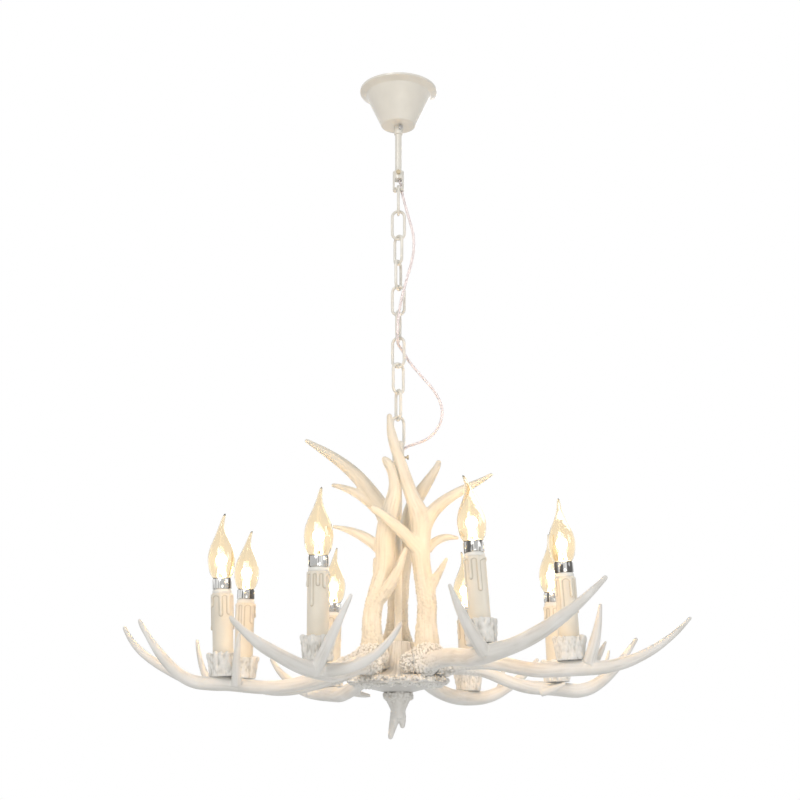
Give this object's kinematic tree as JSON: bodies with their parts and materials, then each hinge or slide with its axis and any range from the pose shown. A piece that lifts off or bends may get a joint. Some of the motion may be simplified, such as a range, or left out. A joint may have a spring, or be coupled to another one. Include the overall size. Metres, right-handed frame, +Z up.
{
  "type": "antler chandelier",
  "caption": "Antler chandelier: cast antler arms with candle-style bulbs round a pipe, on a chain and stem under a cup-shaped canopy.",
  "frame": {"origin": "middle of the ceiling face, where the stem's axis meets the ceiling", "axes": "+Z up into the ceiling, -Y towards the viewer, +X to the viewer's right"},
  "size_m": [0.7378, 0.5819, 0.923],
  "materials": {
    "zinc_steel": "zinc plated",
    "cream_paint": "cream, satin",
    "brass_screw": "worn brass",
    "antler_resin": "cast resin, off-white with darker grooves, matt",
    "bark_resin": "cast resin with bark relief, matt",
    "cover_paint": "off-white, satin",
    "candle_plastic": "ivory candle sleeve, satin",
    "holder_plastic": "white",
    "collar_metal": "satin silver",
    "bulb_glass": "clear, warm glow",
    "cord_sheath": "clear sheath over a twisted pair"
  },
  "bodies": {
    "root": {"ceiling_bracket": "zinc_steel", "stem_tube": "cream_paint", "upper_loop": "cream_paint", "upper_loop_screw": "brass_screw", "power_cord": "cord_sheath"},
    "canopy": {"canopy_cup": "cream_paint", "canopy_collar": "cream_paint", "canopy_collar_screw": "brass_screw"},
    "chain_link_01": {"chain_link_01": "cream_paint"},
    "chain_link_02": {"chain_link_02": "cream_paint"},
    "chain_link_03": {"chain_link_03": "cream_paint"},
    "chain_link_04": {"chain_link_04": "cream_paint"},
    "chain_link_05": {"chain_link_05": "cream_paint"},
    "chain_link_06": {"chain_link_06": "cream_paint"},
    "chain_link_07": {"chain_link_07": "cream_paint"},
    "chain_link_08": {"chain_link_08": "cream_paint"},
    "chain_link_09": {"chain_link_09": "cream_paint"},
    "chain_link_10": {"chain_link_10": "cream_paint"},
    "fixture": {"lower_loop": "cream_paint", "lower_loop_screw": "brass_screw", "centre_pipe": "cream_paint", "hub_casting": "antler_resin", "hub_core": "zinc_steel", "hub_cover": "cover_paint", "finial": "antler_resin", "arm_studs": "zinc_steel", "upright_dowels": "zinc_steel", "arm_antler_1": "antler_resin", "arm_antler_2": "antler_resin", "arm_antler_3": "antler_resin", "arm_antler_4": "antler_resin", "arm_antler_5": "antler_resin", "arm_antler_6": "antler_resin", "arm_antler_7": "antler_resin", "arm_antler_8": "antler_resin", "upright_antler_1": "antler_resin", "upright_antler_2": "antler_resin", "upright_antler_3": "antler_resin", "upright_antler_4": "antler_resin", "candle_cups": "bark_resin", "candle_sleeves": "candle_plastic", "lampholders": "holder_plastic", "candle_nipples": "zinc_steel"},
    "bulb_1": {"bulb_1_base": "collar_metal", "bulb_1_glass": "bulb_glass"},
    "bulb_2": {"bulb_2_base": "collar_metal", "bulb_2_glass": "bulb_glass"},
    "bulb_3": {"bulb_3_base": "collar_metal", "bulb_3_glass": "bulb_glass"},
    "bulb_4": {"bulb_4_base": "collar_metal", "bulb_4_glass": "bulb_glass"},
    "bulb_5": {"bulb_5_base": "collar_metal", "bulb_5_glass": "bulb_glass"},
    "bulb_6": {"bulb_6_base": "collar_metal", "bulb_6_glass": "bulb_glass"},
    "bulb_7": {"bulb_7_base": "collar_metal", "bulb_7_glass": "bulb_glass"},
    "bulb_8": {"bulb_8_base": "collar_metal", "bulb_8_glass": "bulb_glass"}
  },
  "joints": [
    {"name": "canopy_slide", "type": "slide", "parent": "root", "child": "canopy", "axis": [0, 0, 1], "range_m": [-0.055, 0]},
    {"name": "chain_link_01_swing", "type": "hinge", "parent": "root", "child": "chain_link_01", "pos_m": [0, 0, -0.157], "axis": [1, 0, 0], "range_deg": [-8, 8]},
    {"name": "chain_link_02_swing", "type": "hinge", "parent": "chain_link_01", "child": "chain_link_02", "pos_m": [0, 0, -0.19475], "axis": [0, 1, 0], "range_deg": [-8, 8]},
    {"name": "chain_link_03_swing", "type": "hinge", "parent": "chain_link_02", "child": "chain_link_03", "pos_m": [0, 0, -0.23265], "axis": [1, 0, 0], "range_deg": [-8, 8]},
    {"name": "chain_link_04_swing", "type": "hinge", "parent": "chain_link_03", "child": "chain_link_04", "pos_m": [0, 0, -0.27055], "axis": [0.5736, -0.8192, 0], "range_deg": [-8, 8]},
    {"name": "chain_link_05_swing", "type": "hinge", "parent": "chain_link_04", "child": "chain_link_05", "pos_m": [0, 0, -0.30845], "axis": [0.4067, 0.9135, 0], "range_deg": [-8, 8]},
    {"name": "chain_link_06_swing", "type": "hinge", "parent": "chain_link_05", "child": "chain_link_06", "pos_m": [0, 0, -0.34635], "axis": [0.9703, -0.2419, 0], "range_deg": [-8, 8]},
    {"name": "chain_link_07_swing", "type": "hinge", "parent": "chain_link_06", "child": "chain_link_07", "pos_m": [0, 0, -0.38425], "axis": [0.2756, 0.9613, 0], "range_deg": [-8, 8]},
    {"name": "chain_link_08_swing", "type": "hinge", "parent": "chain_link_07", "child": "chain_link_08", "pos_m": [0, 0, -0.42215], "axis": [0.9272, -0.3746, 0], "range_deg": [-8, 8]},
    {"name": "chain_link_09_swing", "type": "hinge", "parent": "chain_link_08", "child": "chain_link_09", "pos_m": [0, 0, -0.46005], "axis": [0.809, 0.5878, 0], "range_deg": [-8, 8]},
    {"name": "chain_link_10_swing", "type": "hinge", "parent": "chain_link_09", "child": "chain_link_10", "pos_m": [0, 0, -0.49795], "axis": [0.3746, -0.9272, 0], "range_deg": [-8, 8]},
    {"name": "fixture_swing", "type": "hinge", "parent": "chain_link_10", "child": "fixture", "pos_m": [0, 0, -0.53585], "axis": [0.8829, 0.4695, 0], "range_deg": [-8, 8], "deforming": ["power_cord"]},
    {"name": "bulb_1_turn", "type": "hinge", "parent": "fixture", "child": "bulb_1", "pos_m": [-0.22224, -0.08862, -0.7399], "axis": [-0.0523, 0, 0.9986], "range_deg": [0, 1080]},
    {"name": "bulb_2_turn", "type": "hinge", "parent": "fixture", "child": "bulb_2", "pos_m": [-0.21333, 0.09417, -0.73275], "axis": [0.0087, 0, 1], "range_deg": [0, 1080]},
    {"name": "bulb_3_turn", "type": "hinge", "parent": "fixture", "child": "bulb_3", "pos_m": [-0.09327, -0.21504, -0.72875], "axis": [-0.0087, 0, 1], "range_deg": [0, 1080]},
    {"name": "bulb_4_turn", "type": "hinge", "parent": "fixture", "child": "bulb_4", "pos_m": [-0.09697, 0.2121, -0.73877], "axis": [0.0175, 0, 0.9998], "range_deg": [0, 1080]},
    {"name": "bulb_5_turn", "type": "hinge", "parent": "fixture", "child": "bulb_5", "pos_m": [0.09014, -0.20371, -0.71037], "axis": [-0.0628, 0.087, 0.9942], "range_deg": [0, 1080]},
    {"name": "bulb_6_turn", "type": "hinge", "parent": "fixture", "child": "bulb_6", "pos_m": [0.09966, 0.21044, -0.74479], "axis": [-0.0262, 0, 0.9997], "range_deg": [0, 1080]},
    {"name": "bulb_7_turn", "type": "hinge", "parent": "fixture", "child": "bulb_7", "pos_m": [0.20937, -0.09324, -0.71988], "axis": [-0.0489, 0, 0.9988], "range_deg": [0, 1080]},
    {"name": "bulb_8_turn", "type": "hinge", "parent": "fixture", "child": "bulb_8", "pos_m": [0.21488, 0.08678, -0.73778], "axis": [-0.0227, 0, 0.9997], "range_deg": [0, 1080]}
  ]
}
